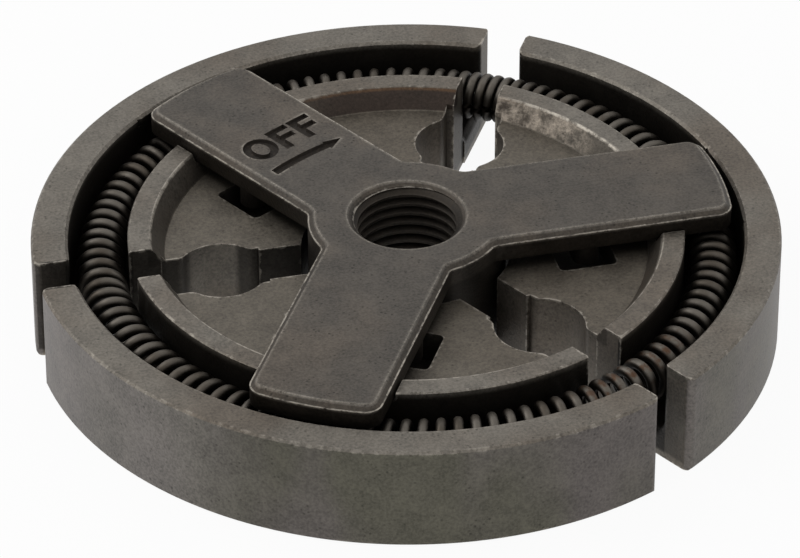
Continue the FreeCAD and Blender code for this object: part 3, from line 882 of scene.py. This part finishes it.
def wire_mesh(name, first, last):
    """A round wire along the coil between two of its steps, closed at both ends."""
    steps = SPRING_TURNS * STEPS_PER_TURN
    nudge = TANGENT_STEP / steps
    points, faces = [], []
    for step in range(first, last + 1):
        share = step / steps
        centre = coil_point(share)
        along = (coil_point(share + nudge) - coil_point(share - nudge)).normalized()
        across = along.cross(Vector((0, 0, 1))).normalized()
        upright = across.cross(along)
        for side in range(WIRE_SIDES):
            turn = 2 * math.pi * side / WIRE_SIDES
            points.append(centre + (across * math.cos(turn) + upright * math.sin(turn)) * (WIRE / 2 * MM))
    for ring in range(last - first):
        for side in range(WIRE_SIDES):
            beside = (side + 1) % WIRE_SIDES
            start = ring * WIRE_SIDES
            after = start + WIRE_SIDES
            faces.append((start + side, start + beside, after + beside, after + side))
    faces.append(tuple(reversed(range(WIRE_SIDES))))
    faces.append(tuple(range(len(points) - WIRE_SIDES, len(points))))
    mesh = mesh_from(name, points, faces)
    mesh.shade_smooth()
    mesh.set_sharp_from_angle(angle=WIRE_SHARP)
    return mesh


def make_spring(steel):
    """Six stretches of one wire, which meet under the arms and in the middles of the gaps."""
    steps = SPRING_TURNS * STEPS_PER_TURN
    halves = 2 * ARMS
    for half in range(halves):
        mesh = wire_mesh(f"spring_{half + 1}", steps * half // halves, steps * (half + 1) // halves)
        piece = new_piece(mesh.name, mesh, [steel])
        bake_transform(piece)
        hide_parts("garter_spring")


# Studio
FLOOR_HALF = 2000.0
FLOOR_LEVEL = -0.02
FLOOR_COLOUR = colour(0.9, 0.9, 0.9)
FLOOR_ROUGHNESS = 0.9
FLOOR_GLOW = 0.94
ROOM_LIGHT = 0.6
WHITE_LIGHT = 1.0
LAMP_PLACE = (-260, 60, 260)
LAMP_SIZE = 300
LAMP_WATTS = 0.4
NEAREST_VIEW = 10.0


def background_rays(tree):
    """One for rays that see the background, straight from the camera, mirrored or through glass."""
    rays = tree.nodes.new("ShaderNodeLightPath").outputs
    seen = larger(tree, rays["Is Camera Ray"], rays["Is Glossy Ray"])
    return larger(tree, seen, rays["Is Transmission Ray"])


def make_floor():
    """A white floor that keeps the shadow and, seen from below, lets the clutch show."""
    half, level = FLOOR_HALF * MM, FLOOR_LEVEL * MM
    corners = [(x * half, y * half, level) for x, y in ((-1, -1), (1, -1), (1, 1), (-1, 1))]
    mesh = mesh_from("studio_floor", corners, [(0, 1, 2, 3)])
    material, tree, shader = new_material("white_floor")
    shader.inputs["Base Color"].default_value = FLOOR_COLOUR
    shader.inputs["Roughness"].default_value = FLOOR_ROUGHNESS
    glow = add_node(tree, "ShaderNodeEmission", {"Color": WHITE, "Strength": WHITE_LIGHT})
    share = times(tree, background_rays(tree), FLOOR_GLOW)
    mixed = add_node(tree, "ShaderNodeMixShader", {0: share, 1: shader.outputs[0], 2: glow.outputs[0]})
    below = tree.nodes.new("ShaderNodeNewGeometry").outputs["Backfacing"]
    clear = tree.nodes.new("ShaderNodeBsdfTransparent")
    sided = add_node(tree, "ShaderNodeMixShader", {0: below, 1: mixed.outputs[0], 2: clear.outputs[0]})
    output = next(node for node in tree.nodes if node.type == "OUTPUT_MATERIAL")
    tree.links.new(sided.outputs[0], output.inputs["Surface"])
    floor = new_piece("studio_floor", mesh, [material])


def make_world():
    world = bpy.data.worlds.new("studio")
    bpy.context.scene.world = world
    world.use_nodes = True
    tree = world.node_tree
    tree.nodes.clear()
    seen = background_rays(tree)
    room = add_node(tree, "ShaderNodeBackground", {"Color": WHITE, "Strength": ROOM_LIGHT})
    white = add_node(tree, "ShaderNodeBackground", {"Color": WHITE, "Strength": WHITE_LIGHT})
    mixed = add_node(tree, "ShaderNodeMixShader", {0: seen, 1: room.outputs[0], 2: white.outputs[0]})
    output = add_node(tree, "ShaderNodeOutputWorld", {"Surface": mixed.outputs[0]})
    output.is_active_output = True


def make_lamp(name, place, size, watts):
    """A square soft box that looks at the clutch, placed as the photograph sees it."""
    lamp = bpy.data.lights.new(name, "AREA")
    lamp.shape = "SQUARE"
    lamp.size = size * MM
    lamp.energy = watts
    holder = bpy.data.objects.new(name, lamp)
    holder.location = photo_to_model(place)
    holder.rotation_euler = holder.location.to_track_quat("Z", "Y").to_euler()
    bpy.context.scene.collection.objects.link(holder)


def make_camera():
    lens = bpy.data.cameras.new("camera")
    lens.sensor_width = SENSOR
    lens.lens = FOCAL_PIXELS / PICTURE_WIDTH * SENSOR
    lens.clip_start = NEAREST_VIEW * MM
    holder = bpy.data.objects.new("camera", lens)
    stand = Vector((0, -math.cos(CAMERA_HEIGHT), math.sin(CAMERA_HEIGHT))) * CAMERA_DISTANCE
    holder.location = photo_to_model(stand)
    towards = photo_to_model(CAMERA_AIM) - holder.location
    holder.rotation_euler = towards.to_track_quat("-Z", "Y").to_euler()
    bpy.context.scene.collection.objects.link(holder)
    bpy.context.scene.camera = holder


def main():
    shoe_steel = make_shoe_steel()
    for name in SHOES:
        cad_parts[name].data.materials.clear()
        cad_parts[name].data.materials.append(shoe_steel)
    make_spider(make_spider_steel(), make_mark_steel())
    make_spring(make_spring_steel())
    make_floor()
    make_world()
    make_lamp("left_box", LAMP_PLACE, LAMP_SIZE, LAMP_WATTS)
    make_camera()
    bpy.context.scene.view_settings.view_transform = "Standard"


main()
